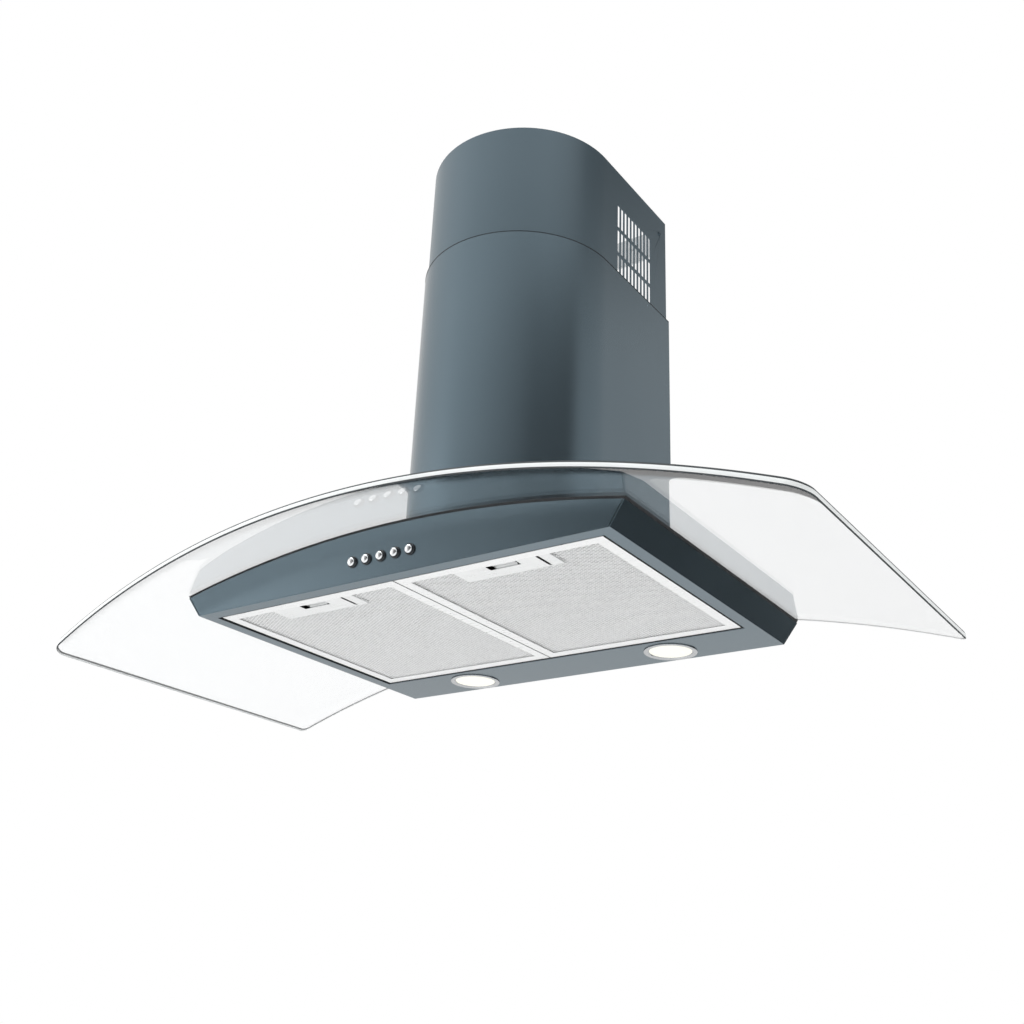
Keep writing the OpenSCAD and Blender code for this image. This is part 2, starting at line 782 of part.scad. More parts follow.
gland_r = 8;
gland_bore = 4;
gland_x = casing_half - 16;
gland_y = -casing_rear - 18;
module cable_gland() at_wall() color(RUBBER) {
    translate([gland_x, gland_y, casing_top - 6]) difference() {
        union() {
            cylinder(r = gland_r, h = 20, $fn = 48);
            translate([0, 0, 6]) cylinder(r = gland_r + 3, h = 4, $fn = 6);
            cylinder(r = gland_r + 3, h = 5, $fn = 6);
        }
        translate([0, 0, -1]) cylinder(r = gland_bore, h = 30, $fn = 48);
    }
}

module led_driver() at_wall() color(WHITE) {
    translate([-55, -56, sheet]) {
        cube([110, 44, 20]);
        for (x = [-8, 110 - eps]) translate([x, 15, 0]) difference() {
            cube([8, 14, 2]);
            translate([4, 7, -1]) cylinder(r = 1.8, h = 4, $fn = 24);
        }
    }
}

// ---- chimney ----

module lower_chimney() at_wall() color(STEEL) {
    difference() {
        chimney_wall(chimney_w, chimney_d, 0, chimney_sheet,
            arch_z(chimney_w / 2) - 10, chimney_split);
        arch(glass_t + seat_gap);
    }
}

module chimney_clips() at_wall() color(ZINC) {
    for (s = [-1, 1]) {
        x0 = casing_half;
        x1 = chimney_w / 2 - chimney_sheet;
        translate([s > 0 ? x0 : -x1, -casing_rear - 16, casing_z + 12]) cube([x1 - x0, 1.5, 14]);
        translate([s > 0 ? x1 - 1.5 : -x1, -casing_rear - 26, casing_z + 12]) cube([1.5, 10 + eps, 14]);
    }
}

module upper_chimney() at_wall() color(STEEL) {
    row = vent_h + vent_gap;
    difference() {
        chimney_wall(upper_w, upper_d, upper_back, chimney_sheet, upper_bottom, chimney_top);
        for (i = [0 : vent_cols - 1], k = [0 : vent_rows - 1])
            translate([-upper_w, -vent_rear - vent_w - i * vent_pitch, vent_top - vent_h - k * row])
                cube([2 * upper_w, vent_w, vent_h]);
        bracket_screw_places() cylinder(r = 2.1, h = 12, center = true, $fn = 32);
    }
}

bracket_screw_y = -18;
bracket_z = chimney_top - bracket_drop - bracket_h;
module bracket_screw_places() {
    for (s = [-1, 1])
        translate([s * upper_w / 2, bracket_screw_y, bracket_z + bracket_h / 2])
            rotate([0, s * 90, 0]) children();
}

bracket_hole_x = 70;
bracket_hole_r = 2.75;
module ceiling_bracket() at_wall() color(ZINC) {
    in = upper_w / 2 - chimney_sheet;
    back = upper_back + chimney_sheet;
    difference() {
        union() {
            translate([-in, -back - bracket_t, bracket_z]) cube([2 * in, bracket_t, bracket_h]);
            for (s = [-1, 1])
                translate([s > 0 ? in - bracket_t : -in, -back - 30, bracket_z])
                    cube([bracket_t, 30, bracket_h]);
            translate([-bracket_hole_x - 14, -back - eps, bracket_z])
                cube([2 * bracket_hole_x + 28, back + eps, bracket_h]);
        }
        for (s = [-1, 1]) translate([s * bracket_hole_x, 1, bracket_z + bracket_h / 2])
            rotate([90, 0, 0]) cylinder(r = bracket_hole_r, h = 12, $fn = 48);
        bracket_screw_places() cylinder(r = 2.1, h = 12, center = true, $fn = 32);
    }
}

module bracket_screws() at_wall() color(STEEL) {
    bracket_screw_places() screw(2, chimney_sheet + bracket_t + 4, 3.2, 1);
}

// ---- switches ----

module switch_bezels() at_wall() color(DARK) {
    for (x = button_xs) at_button(x) difference() {
        union() {
            translate([0, 0, -bezel_proud]) cylinder(r = bezel_d / 2, h = bezel_proud, $fn = 64);
            translate([0, 0, -eps]) cylinder(r = bezel_barrel / 2, h = fascia_t + 2, $fn = 64);
        }
        cylinder(r = button_d / 2 + button_play, h = 40, center = true, $fn = 64);
    }
}

module switch_block() at_wall() color(WHITE) {
    half = switch_half;
    at_button(0) {
        difference() {
            translate([-half, -8, switch_z0]) cube([2 * half, 16, switch_z1 - switch_z0]);
            for (x = button_xs) translate([x, 0, switch_z0 - 1])
                cylinder(r = stem_r + stem_play, h = switch_z1 - switch_z0 - 1, $fn = 32);
        }
        for (s = [-1, 1]) translate([s > 0 ? half : -half - 2, -8, fascia_t])
            cube([2, 16, switch_z1 - fascia_t]);
        for (s = [-1, 1]) translate([s > 0 ? half : -half - 9, -8, fascia_t]) difference() {
            cube([9, 16, 2]);
            translate([s > 0 ? 5.5 : 3.5, 8, -1]) cylinder(r = 1.6, h = 4, $fn = 24);
        }
    }
}

module switch_board() at_wall() color("darkgreen") {
    half = switch_half - 2;
    at_button(0) {
        translate([-half, -7, switch_z1]) cube([2 * half, 14, 1.6]);
        translate([-half + 4, -4, switch_z1 + 1.6 - eps]) cube([16, 8, 8]);
        translate([half - 30, -4, switch_z1 + 1.6 - eps]) cube([22, 8, 6]);
    }
}

module button(i) {
    r = button_d / 2;
    at_button(button_xs[i - 1]) rotate_extrude($fn = 64)
        polygon(concat(
            [[0, stem_end - button_travel - 1], [stem_r, stem_end - button_travel - 1],
             [stem_r, button_root], [r, button_root], [r, -button_proud + 1.6]],
            [for (a = [0 : 15 : 75]) [r - 1.4 + 1.4 * cos(a), -button_proud + 1.6 - 1.4 * sin(a)]],
            [[0, -button_proud]]
        ));
}

module button_1() at_wall() color(CHROME) button(1);
module button_2() at_wall() color(CHROME) button(2);
module button_3() at_wall() color(CHROME) button(3);
module button_4() at_wall() color(CHROME) button(4);
module button_5() at_wall() color(CHROME) button(5);

module button_springs() at_wall() color(ZINC) {
    for (x = button_xs)
        at_button(x) translate([0, 0, button_root]) coil(3, 0.3, switch_z0 - button_root, 4);
}

// ---- lamps ----

module lamp_bezels() at_wall() color(CHROME) {
    lamps() difference() {
        translate([0, 0, -lamp_proud]) cylinder(r = lamp_d / 2, h = lamp_proud, $fn = fine);
        translate([0, 0, -2]) cylinder(r1 = lens_d / 2 + 2.2, r2 = lens_d / 2 + 0.2, h = 2 + eps, $fn = fine);
    }
}

module lamp_lenses() at_wall() color("#fff6dd") {
    lamps() cylinder(r = lens_d / 2, h = 2, $fn = fine);
}

module lamp_modules() at_wall() color("silver") {
    lamps() difference() {
        cylinder(r = lamp_can_r, h = lamp_can_h, $fn = fine);
        translate([0, 0, -1]) cylinder(r = lens_d / 2, h = 3, $fn = fine);
        translate([0, 0, 2 - eps]) cylinder(r1 = lens_d / 2 - 1, r2 = 8, h = 12, $fn = fine);
        for (k = [-3 : 3]) translate([k * 7 - 1.5, -30, 16]) cube([3, 60, 5]);
    }
}

module lamp_clips() at_wall() color(CHROME) {
    lamps() for (a = [0, 180]) rotate([0, 0, a]) {
        translate([lamp_can_r, -4, sheet]) cube([0.6, 8, 14]);
        translate([lamp_can_r, -4, sheet]) cube([5, 8, 0.6]);
    }
}

// ---- filters ----

module filter_frame(side) {
    x0 = side * filter_x - filter_w / 2;
    d = filter_rear - filter_front;
    s = filter_sheet;
    cx = side * filter_x;
    difference() {
        translate([x0, filter_front, filter_z]) cube([filter_w, d, filter_t]);
        translate([x0 + filter_rim, filter_front + filter_rim, filter_z - 1])
            cube([filter_w - 2 * filter_rim, d - 2 * filter_rim, filter_t + 2]);
        translate([x0 + s, filter_front + s, filter_z + s])
            cube([filter_w - 2 * s, d - 2 * s, filter_t - 2 * s]);
        translate([cx - latch_w / 2 - latch_play, filter_front - 1, latch_z - latch_play])
            cube([latch_w + 2 * latch_play, 3, latch_t + 2 * latch_play]);
    }
    for (t = [-1, 1]) translate([cx + t * hook_at - hook_len / 2, bead_y, bead_z]) {
        difference() {
            rotate([0, 90, 0]) cylinder(r = bead_r + hook_clear + hook_t, h = hook_len, $fn = 48);
            translate([-1, 0, 0]) rotate([0, 90, 0])
                cylinder(r = bead_r + hook_clear, h = hook_len + 2, $fn = 48);
            translate([-1, -5, -10]) cube([hook_len + 2, 10, 10]);
        }
        translate([0, filter_rear - bead_y - s, 0])
            cube([hook_len, bead_y - filter_rear + s - bead_r - hook_clear - 0.2, 1.2]);
    }
}

// The lower and the upper face of the mesh pack.
module filter_mesh(side) {
    x0 = side * filter_x - filter_w / 2;
    s = filter_sheet + 0.2;
    difference() {
        for (z = [filter_z + s, filter_z + filter_t - s - mesh_t])
            translate([x0 + s, filter_front + s, z])
                cube([filter_w - 2 * s, filter_rear - filter_front - 2 * s, mesh_t]);
        translate([side * filter_x - handle_w / 2 - 0.3, filter_front, 0])
            cube([handle_w + 0.6, filter_rim + handle_d + 0.3, 20]);
    }
}

module filter_handle(side) {
    cx = side * filter_x;
    w = handle_w;
    wall_h = handle_top - filter_z;
    difference() {
        translate([cx - w / 2, handle_front, filter_z]) cube([w, handle_d, 0.8]);
        translate([cx - slot_w / 2, slot_front, 0]) cube([slot_w, slot_d, 5]);
        translate([cx + slit_x - slit_w / 2, handle_front - 1, 0]) cube([slit_w, 26, 5]);
    }
    for (t = [-1, 1])
        translate([cx + (t > 0 ? latch_w / 2 + latch_play : -latch_w / 2 - latch_play - 1.5),
            handle_front + slot_d + 2, filter_z + 0.5]) cube([1.5, handle_d - slot_d - 2, wall_h - 0.5]);
    translate([cx - latch_w / 2 - 1, handle_front + handle_d - spring_seat_t, filter_z + 0.5])
        cube([latch_w + 2, spring_seat_t, wall_h - 0.5]);
    for (t = [-1, 1])
        translate([cx + (t > 0 ? w / 2 - 1 : -w / 2), handle_front, filter_z + 0.5])
            cube([1, handle_d, wall_h - 0.5]);
}

module latch(side) {
    cx = side * filter_x;
    nose = opening_front - latch_nose;
    translate([cx - latch_w / 2, nose, latch_z]) cube([latch_w, latch_rear - nose, latch_t]);
    translate([cx - slot_w / 2 + 5, slot_front + slot_d + 0.2, filter_z + 1.1])
        cube([slot_w - 10, 1.4, latch_z - filter_z - 1.1 + eps]);
    translate([cx, latch_rear - eps, latch_z + latch_t / 2])
        rotate([-90, 0, 0]) cylinder(r = 0.7, h = 3, $fn = 24);
}

module latch_spring(side) {
    len = handle_front + handle_d - spring_seat_t - latch_rear;
    translate([side * filter_x, latch_rear, latch_z + latch_t / 2])
        rotate([-90, 0, 0]) coil(1.5, spring_wire, len, 6);
}

module filter_left_frame() at_wall() color(BRIGHT) filter_frame(-1);
module filter_left_mesh() at_wall() color(BRIGHT) filter_mesh(-1);
module filter_left_handle() at_wall() color(BRIGHT) filter_handle(-1);
module latch_left() at_wall() color(ZINC) latch(-1);
module latch_spring_left() at_wall() color(ZINC) latch_spring(-1);
module filter_right_frame() at_wall() color(BRIGHT) filter_frame(1);
module filter_right_mesh() at_wall() color(BRIGHT) filter_mesh(1);
module filter_right_handle() at_wall() color(BRIGHT) filter_handle(1);
module latch_right() at_wall() color(ZINC) latch(1);
module latch_spring_right() at_wall() color(ZINC) latch_spring(1);

canopy_shell();
front_fascia();
fascia_screws();
top_plate();
glass_seal();
glass_canopy();
glass_bolts();
glass_sleeves();
blower_gasket();
casing_floor();
casing_wrap();
casing_back();
casing_lid();
wall_hanger();
hanger_screws();
scroll_left();
scroll_right();
motor();
motor_bracket();
motor_bushes();
motor_screws();
outlet_collar();
capacitor();
terminal_box();
cable_gland();
led_driver();
lower_chimney();
chimney_clips();
switch_bezels();
switch_block();
switch_board();
lamp_bezels();
lamp_lenses();
lamp_modules();
lamp_clips();
upper_chimney();
ceiling_bracket();
bracket_screws();
impeller();
motor_shaft();
flap_front();
flap_rear();
filter_left_frame();
filter_left_mesh();
filter_left_handle();
latch_left();
latch_spring_left();
filter_right_frame();
filter_right_mesh();
filter_right_handle();
latch_right();
latch_spring_right();
button_1();
button_2();
button_3();
button_4();
button_5();
button_springs();
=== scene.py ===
"""Looks of a wall-mounted range hood with a curved glass canopy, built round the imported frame."""

import json
import math
import random

import bmesh
import bpy
from mathutils import Matrix, Vector


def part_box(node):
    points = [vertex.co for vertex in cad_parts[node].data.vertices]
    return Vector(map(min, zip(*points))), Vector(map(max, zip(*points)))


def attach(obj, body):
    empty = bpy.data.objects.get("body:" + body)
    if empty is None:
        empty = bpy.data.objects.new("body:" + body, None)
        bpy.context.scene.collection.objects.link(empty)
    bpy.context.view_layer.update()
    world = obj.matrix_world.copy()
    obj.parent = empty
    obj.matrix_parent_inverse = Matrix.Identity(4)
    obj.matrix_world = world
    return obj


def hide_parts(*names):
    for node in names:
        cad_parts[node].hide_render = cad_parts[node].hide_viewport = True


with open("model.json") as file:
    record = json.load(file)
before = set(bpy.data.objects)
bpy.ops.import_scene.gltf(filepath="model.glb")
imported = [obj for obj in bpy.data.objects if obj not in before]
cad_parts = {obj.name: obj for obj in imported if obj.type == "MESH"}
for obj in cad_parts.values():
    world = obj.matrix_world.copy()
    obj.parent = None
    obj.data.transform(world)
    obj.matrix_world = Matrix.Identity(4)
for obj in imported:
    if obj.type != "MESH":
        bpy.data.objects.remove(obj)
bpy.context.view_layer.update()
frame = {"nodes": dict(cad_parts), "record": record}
nodes = frame["nodes"]
MM = 0.001

# Level of the hood's underside, which most heights here are counted from.
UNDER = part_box("canopy_shell")[0].z


# ---- camera ----

def make_camera():
    yaw, pitch, roll = (math.radians(a) for a in (35.33, 23.51, 2.48))
    forward = Vector((
        -math.sin(yaw) * math.cos(pitch), math.cos(yaw) * math.cos(pitch), math.sin(pitch)))
    level = Vector((math.cos(yaw), math.sin(yaw), 0))
    upright = level.cross(forward)
    right = level * math.cos(roll) + upright * math.sin(roll)
    up = upright * math.cos(roll) - level * math.sin(roll)
    data = bpy.data.cameras.new("camera")
    data.lens = 43.69
    data.sensor_width = 36
    camera = bpy.data.objects.new("camera", data)
    place = Matrix((right, up, -forward)).transposed().to_4x4()
    place.translation = (0.7566, -1.2282, UNDER - 0.4188)
    camera.matrix_world = place
    bpy.context.scene.collection.objects.link(camera)
    bpy.context.scene.camera = camera


make_camera()


# ---- node helpers ----

class Tree:
    """A short way to add and join shader nodes."""

    def __init__(self, owner):
        owner.use_nodes = True
        self.tree = owner.node_tree
        self.tree.nodes.clear()

    def add(self, kind, inputs=None, **facts):
        node = self.tree.nodes.new(kind)
        for name, value in facts.items():
            setattr(node, name, value)
        for name, value in (inputs or {}).items():
            self.give(node.inputs[name], value)
        return node

    def give(self, socket, value):
        if isinstance(value, bpy.types.NodeSocket):
            self.tree.links.new(value, socket)
        else:
            socket.default_value = value

    def noise(self, scale, detail=2.0, stretch=(1, 1, 1)):
        """Noise in the row frame: scale is in features per metre."""
        where = self.add("ShaderNodeTexCoord").outputs["Object"]
        placed = self.add("ShaderNodeMapping", {"Vector": where, "Scale": stretch})
        return self.add("ShaderNodeTexNoise", {
            "Vector": placed.outputs[0], "Scale": scale, "Detail": detail}).outputs["Fac"]

    def span(self, value, low, high, start=0.35, end=0.65):
        """value from start to end becomes low to high."""
        return self.add("ShaderNodeMapRange", {
            "Value": value, "From Min": start, "From Max": end,
            "To Min": low, "To Max": high}).outputs[0]

    def shade(self, value, dark, light, start=0.3, end=0.7):
        """value picks a colour between dark and light."""
        mix = self.add("ShaderNodeMix", data_type="RGBA")
        self.give(mix.inputs[0], self.span(value, 0, 1, start, end))
        self.give(mix.inputs[6], (*dark, 1))
        self.give(mix.inputs[7], (*light, 1))
        return mix.outputs[2]

    def bump(self, height, strength, distance):
        return self.add("ShaderNodeBump", {
            "Height": height, "Strength": strength, "Distance": distance}).outputs[0]

    def surface(self, **inputs):
        """A Principled surface. Input names have their spaces written as underscores."""
        given = {name.replace("_", " "): value for name, value in inputs.items()}
        shader = self.add("ShaderNodeBsdfPrincipled", given)
        out = self.add("ShaderNodeOutputMaterial")
        self.tree.links.new(shader.outputs[0], out.inputs["Surface"])
        return shader


def new_material(name):
    material = bpy.data.materials.new(name)
    return material, Tree(material)


# ---- materials ----

def paint(name, roughness):
    """Satin anthracite powder coat: fine orange peel, and a faint drift in tone and gloss."""
    material, t = new_material(name)
    peel = t.noise(1500, 2)
    drift = t.noise(7, 1)
    t.surface(
        Base_Color=t.shade(drift, (0.116, 0.166, 0.198), (0.132, 0.185, 0.219), 0.1, 0.9),
        Metallic=0.9,
        Roughness=t.span(drift, roughness - 0.02, roughness + 0.02, 0.1, 0.9),
        Specular_Tint=(0.66, 0.66, 0.66, 1),
        Coat_Weight=0.45,
        Coat_Roughness=0.2,
        Normal=t.bump(peel, 0.12, 0.00005))
    return material


def zinc():
    """Zinc-plated sheet with its soft spangle."""
    material, t = new_material("zinc_plate")
    where = t.add("ShaderNodeTexCoord").outputs["Object"]
    spangle = t.add("ShaderNodeTexVoronoi", {"Vector": where, "Scale": 130.0})
    grey = t.add("ShaderNodeRGBToBW", {"Color": spangle.outputs["Color"]}).outputs[0]
    t.surface(
        Base_Color=t.shade(grey, (0.52, 0.54, 0.55), (0.66, 0.68, 0.69)),
        Metallic=0.95,
        Roughness=t.span(grey, 0.30, 0.44),
        Normal=t.bump(t.noise(900, 2), 0.1, 0.00005))
    return material


def moulded(name, colour, roughness, grain=1200, depth=0.15, glow=0.0):
    """A moulded plastic or rubber with a fine spark-eroded grain."""
    material, t = new_material(name)
    lighter = tuple(min(1.0, c * 1.12 + 0.004) for c in colour)
    t.surface(
        Base_Color=t.shade(t.noise(30, 3), colour, lighter),
        Roughness=t.span(t.noise(60, 2), roughness - 0.05, roughness + 0.05),
        Emission_Strength=glow,
        Normal=t.bump(t.noise(grain, 3), depth, 0.0001))
    return material


def metal(name, dark, light, roughness, stretch=(1, 1, 1), grain=700, depth=0.1, metallic=1.0):
    """Bare metal with a grain that runs along the axis with the small stretch."""
    material, t = new_material(name)
    line = t.noise(grain, 3, stretch)
    t.surface(
        Base_Color=t.shade(line, dark, light),
        Metallic=metallic,
        Roughness=t.span(line, roughness - 0.04, roughness + 0.06),
        Normal=t.bump(line, depth, 0.00005))
    return material


def glass(name, colour, roughness):
    """Clear glass with a thin hard coating."""
    material, t = new_material(name)
    t.surface(
        Base_Color=(*colour, 1),
        Roughness=t.span(t.noise(14, 4), roughness, roughness + 0.012),
        IOR=1.5,
        Transmission_Weight=1.0,
        Coat_Weight=0.5,
        Coat_IOR=1.6,
        Coat_Roughness=0.0)
    return material


def lit_lens():
    """Frosted lens over a warm white lamp, with a fine speckle in its face and its glow."""
    material, t = new_material("lit_lens")
    speck = t.noise(350, 2)
    t.surface(
        Base_Color=(0.25, 0.25, 0.22, 1),
        Roughness=0.6,
        Normal=t.bump(speck, 0.25, 0.0002),
        Emission_Color=t.shade(speck, (1.0, 0.985, 0.88), (1.0, 0.99, 0.91)),
        Emission_Strength=0.75)
    return material


def circuit_board():
    """Green lacquer with faint copper tracks below it."""
    material, t = new_material("board_lacquer")
    where = t.add("ShaderNodeTexCoord").outputs["Object"]
    tracks = t.add("ShaderNodeTexBrick", {
        "Vector": where, "Scale": 220.0, "Color1": (0.012, 0.11, 0.045, 1),
        "Color2": (0.02, 0.15, 0.06, 1), "Mortar": (0.10, 0.25, 0.09, 1),
        "Mortar Size": 0.03})
    t.surface(Base_Color=tracks.outputs["Color"], Roughness=0.25, Metallic=0.1)
    return material


def floor_paint():
    material, t = new_material("pale_floor")
    t.surface(
        Base_Color=t.shade(t.noise(3, 4), (0.90, 0.90, 0.90), (0.93, 0.93, 0.93)),
        Roughness=0.7,
        Emission_Color=(1, 1, 1, 1),
        Emission_Strength=0.13)
    return material


PAINT = paint("satin_anthracite", 0.23)
PAINT_UPPER = paint("matt_anthracite", 0.40)
# Painted shade: near-black that stands in for the shade inside gaps, lips and recesses.
PAINTED_SHADE = moulded("painted_shade_inside", (0.010, 0.012, 0.014), 0.55)
ZINC = zinc()
RUBBER = moulded("black_rubber", (0.012, 0.013, 0.015), 0.65)
GLASS = glass("clear_glass", (0.93, 0.94, 0.945), 0.0)
# Painted highlight: the glass edge band is an opaque pale grey with a faint glow, standing in for the
# light the clear edge lets through and reflects.
GLASS_EDGE_HIGHLIGHT = moulded(
    "glass_edge_painted_highlight", (0.70, 0.73, 0.73), 0.16, grain=400, depth=0.04, glow=0.2)
# Painted shade: the arrises are near-black, standing in for the dark lines the clear glass edge shows.
GLASS_ARRIS_SHADE = moulded("glass_arris_painted_shade", (0.035, 0.042, 0.046), 0.6, grain=400, depth=0.04)
FAN_PLASTIC = moulded("fan_plastic", (0.035, 0.038, 0.042), 0.5)
FLAP_PLASTIC = moulded("flap_plastic", (0.52, 0.53, 0.53), 0.45)
WHITE_PLASTIC = moulded("white_plastic", (0.70, 0.70, 0.67), 0.42)
BEZEL_PLASTIC = moulded("bezel_plastic", (0.016, 0.019, 0.023), 0.22)
MOTOR_METAL = metal("motor_casting", (0.36, 0.37, 0.38), (0.50, 0.51, 0.52), 0.45, grain=260, depth=0.3)
CHROME = metal("chrome", (0.80, 0.81, 0.82), (0.86, 0.87, 0.88), 0.08, depth=0.02)
LAMP_BODY = metal("lamp_casting", (0.55, 0.55, 0.55), (0.68, 0.68, 0.68), 0.40, grain=300, depth=0.25)
ALUMINIUM = metal("bright_aluminium", (0.82, 0.83, 0.83), (0.88, 0.885, 0.885), 0.30, (0.05, 1, 1))
PLATE = metal("handle_plate", (0.76, 0.77, 0.77), (0.82, 0.83, 0.83), 0.30, (0.05, 1, 1))
STRANDS = metal(
    "expanded_aluminium", (0.96, 0.965, 0.965), (1.0, 1.0, 1.0), 0.33, grain=1500, metallic=0.15)
PACK = metal(
    "mesh_pack", (0.40, 0.41, 0.41), (0.80, 0.81, 0.81), 0.42, grain=520, depth=0.8, metallic=0.2)
LAMP_RING = metal("lamp_ring", (0.44, 0.45, 0.46), (0.50, 0.51, 0.52), 0.18, depth=0.02)
SPRING_STEEL = metal("spring_steel", (0.50, 0.51, 0.52), (0.62, 0.63, 0.64), 0.25)
LENS = lit_lens()
BOARD = circuit_board()

BY_SLOT = {
    "painted_steel": PAINT, "zinc_steel": ZINC, "rubber": RUBBER, "glass": GLASS,
    "fan_plastic": FAN_PLASTIC, "flap_plastic": FLAP_PLASTIC, "motor_metal": MOTOR_METAL,
    "white_plastic": WHITE_PLASTIC, "bezel_plastic": BEZEL_PLASTIC, "board": BOARD,
    "chrome": CHROME, "lamp_glow": LENS, "lamp_body": LAMP_BODY, "aluminium": ALUMINIUM,
    "filter_mesh": STRANDS,
}


# ---- the CAD nodes that stay: a material each, and edges eased as bent sheet has them ----

SPRINGS = [n for n in nodes if "spring" in n]
EDGE = {
    "canopy_shell": 0.5, "front_fascia": 0.5, "lower_chimney": 0.3, "upper_chimney": 0.3,
    "casing_wrap": 0.3, "casing_lid": 0.3, "top_plate": 0.2, "wall_hanger": 0.4, "lamp_bezels": 0.25,
    "switch_bezels": 0.3, "led_driver": 0.6, "switch_block": 0.4, "capacitor": 0.8,
    "terminal_box": 0.6, "motor": 0.5, "outlet_collar": 0.4, "cable_gland": 0.4,
    "ceiling_bracket": 0.3, "filter_left_frame": 0.35, "filter_right_frame": 0.35,
    "filter_left_handle": 0.3, "filter_right_handle": 0.3, "latch_left": 0.3,
    "latch_right": 0.3, "lamp_modules": 0.4, "glass_seal": 0.3,
}


def ease_edges(piece, width):
    """Joins the mesh up, rounds its sharp edges by width in millimetres and smooths the rest."""
    for face in piece.data.polygons:
        face.use_smooth = True
    weld = piece.modifiers.new("join", "WELD")
    weld.merge_threshold = 0.00001
    if width:
        bevel = piece.modifiers.new("eased_edges", "BEVEL")
        bevel.width = width * MM
        bevel.segments = 2
        bevel.limit_method = "ANGLE"
        bevel.angle_limit = math.radians(35)
        bevel.use_clamp_overlap = True
    smooth = piece.modifiers.new("even_shading", "WEIGHTED_NORMAL")
    smooth.keep_sharp = False
    smooth.weight = 80


def paint_shade_inside(piece, outside):
    """Gives every face for which outside(middle, normal) is false the painted shade: a near-black
    material that stands in for the shade in the gaps and lips.
    """
    piece.data.materials.append(PAINTED_SHADE)
    for face in piece.data.polygons:
        middle = piece.matrix_world @ face.center
        face.material_index = 0 if outside(middle, face.normal) else 1


def outside_of_shell(middle, normal):
    """The underside, the two leaning sides and the rear panel."""
    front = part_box("canopy_shell")[0].y
    return (
        (normal.z < -0.9 and middle.z < UNDER + 0.3 * MM)
        or (normal.z < -0.3 and normal.x * middle.x > 0)
        or (normal.y > 0.9 and middle.y > -0.3 * MM)
        or (normal.y < -0.9 and middle.y < front + 8 * MM))


def outside_of_fascia(middle, normal):
    return normal.y < -0.9 and middle.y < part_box("canopy_shell")[0].y + 8 * MM


def dress_cad_nodes():
    slots = {part["node"]: part["material_slot"] for part in frame["record"]["subparts"]}
    for name, piece in nodes.items():
        piece.data.materials.clear()
        piece.data.materials.append(BY_SLOT[slots[name]])
        if name in SPRINGS:
            piece.data.materials[0] = SPRING_STEEL
        else:
            ease_edges(piece, EDGE.get(name, 0.15))
    for side in ("left", "right"):
        nodes[f"filter_{side}_handle"].data.materials[0] = PLATE
        nodes[f"latch_{side}"].data.materials[0] = PLATE
    for name in ("upper_chimney", "bracket_screws"):
        nodes[name].data.materials[0] = PAINT_UPPER
    nodes["lamp_bezels"].data.materials[0] = LAMP_RING
    # Painted shade on the inner faces of the shell and the fascia, in the gaps and lips.
    paint_shade_inside(nodes["canopy_shell"], outside_of_shell)
    paint_shade_inside(nodes["front_fascia"], outside_of_fascia)


dress_cad_nodes()


# ---- pieces made here ----

def new_piece(name, vertices, faces, material, body, slot):
    mesh = bpy.data.meshes.new(name)
    mesh.from_pydata(vertices, [], faces)
    mesh.materials.append(material)
    mesh.update()
    piece = bpy.data.objects.new(name, mesh)
    bpy.context.scene.collection.objects.link(piece)
    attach(piece, body)
    return piece


def expanded_metal(x0, x1, y0, y1, z, skip, long_way=7.0, short_way=4.0):
    """Vertices and faces of a sheet of expanded metal that fills a rectangle, in millimetres.
    skip is the rectangle, as (x0, x1, y0, y1), that the handle takes."""
    tilt = math.radians(32)
    half_width = Vector((0, math.cos(tilt), math.sin(tilt))) * 0.55
    half_thick = Vector((0, -math.sin(tilt), math.cos(tilt))) * 0.16
    corners = (
        half_width + half_thick, half_thick - half_width,
        -half_width - half_thick, half_width - half_thick)
    vertices = []
    faces = []

    def kept(p):
        in_skip = skip[0] < p.x < skip[1] and skip[2] < p.y < skip[3]
        return x0 <= p.x <= x1 and y0 <= p.y <= y1 and not in_skip

    def cut_back(good, bad):
        """The last kept point on the way from good to bad."""
        for _ in range(7):
            middle = (good + bad) / 2
            if kept(middle):
                good = middle
            else:
                bad = middle
        return good

    def strand(a, b):
        if not kept(a) and not kept(b):
            return
        if not kept(a):
            a = cut_back(b, a)
        elif not kept(b):
            b = cut_back(a, b)
        if (a - b).length < 0.3:
            return
        first = len(vertices)
        vertices.extend((end + c) * MM for end in (a, b) for c in corners)
        faces.extend(
            (first + k, first + (k + 1) % 4, first + 4 + (k + 1) % 4, first + 4 + k)
            for k in range(4))
        faces.append((first + 3, first + 2, first + 1, first))
        faces.append((first + 4, first + 5, first + 6, first + 7))

    columns = int((x1 - x0) / long_way) + 2
    rows = int((y1 - y0) / short_way) + 2
    for i in range(-1, columns):
        for j in range(-1, rows):
            node = Vector((x0 + i * long_way, y0 + j * short_way, z))
            middle = node + Vector((long_way / 2, short_way / 2, 0))
            strand(node, middle)
            strand(middle, node + Vector((long_way, 0, 0)))
            strand(node + Vector((0, short_way, 0)), middle)
            strand(middle, node + Vector((long_way, short_way, 0)))
    return vertices, faces


